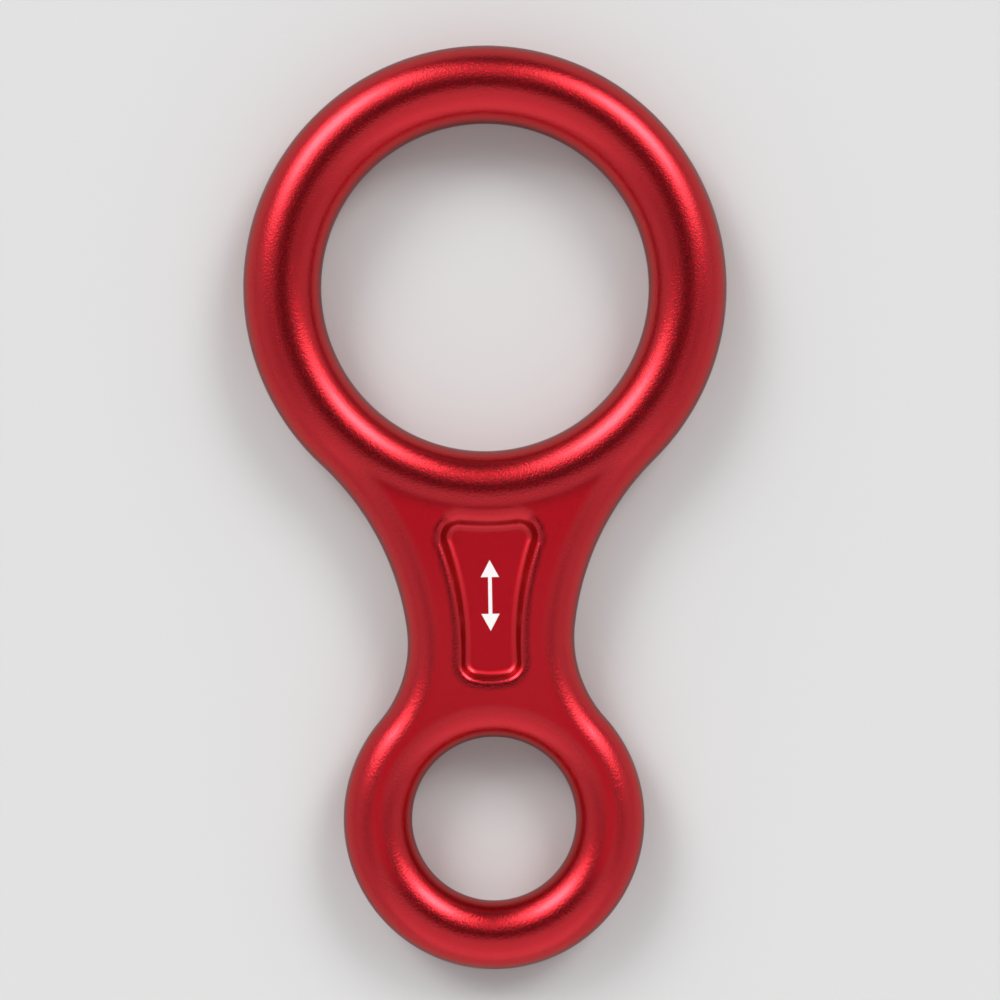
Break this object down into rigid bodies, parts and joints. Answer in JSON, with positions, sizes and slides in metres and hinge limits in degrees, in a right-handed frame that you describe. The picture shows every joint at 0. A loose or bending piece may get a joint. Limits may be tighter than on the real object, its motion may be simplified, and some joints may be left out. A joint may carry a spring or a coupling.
{
  "type": "figure eight descender",
  "caption": "Forged figure eight descender for rope work: a large rope eye and a small carabiner eye joined by a waisted web with a shallow pocket in each face.",
  "frame": {"origin": "bottom centre of the bounding box, with the part lying flat", "axes": "+Y along the length towards the rope eye, +X across the width, +Z through the thickness, up from the face it lies on"},
  "size_m": [0.0768, 0.1466, 0.0124],
  "materials": {
    "anodised_red": "blasted and anodised, satin, fine grain"
  },
  "bodies": {
    "root": {"descender_body": "anodised_red"}
  },
  "joints": []
}
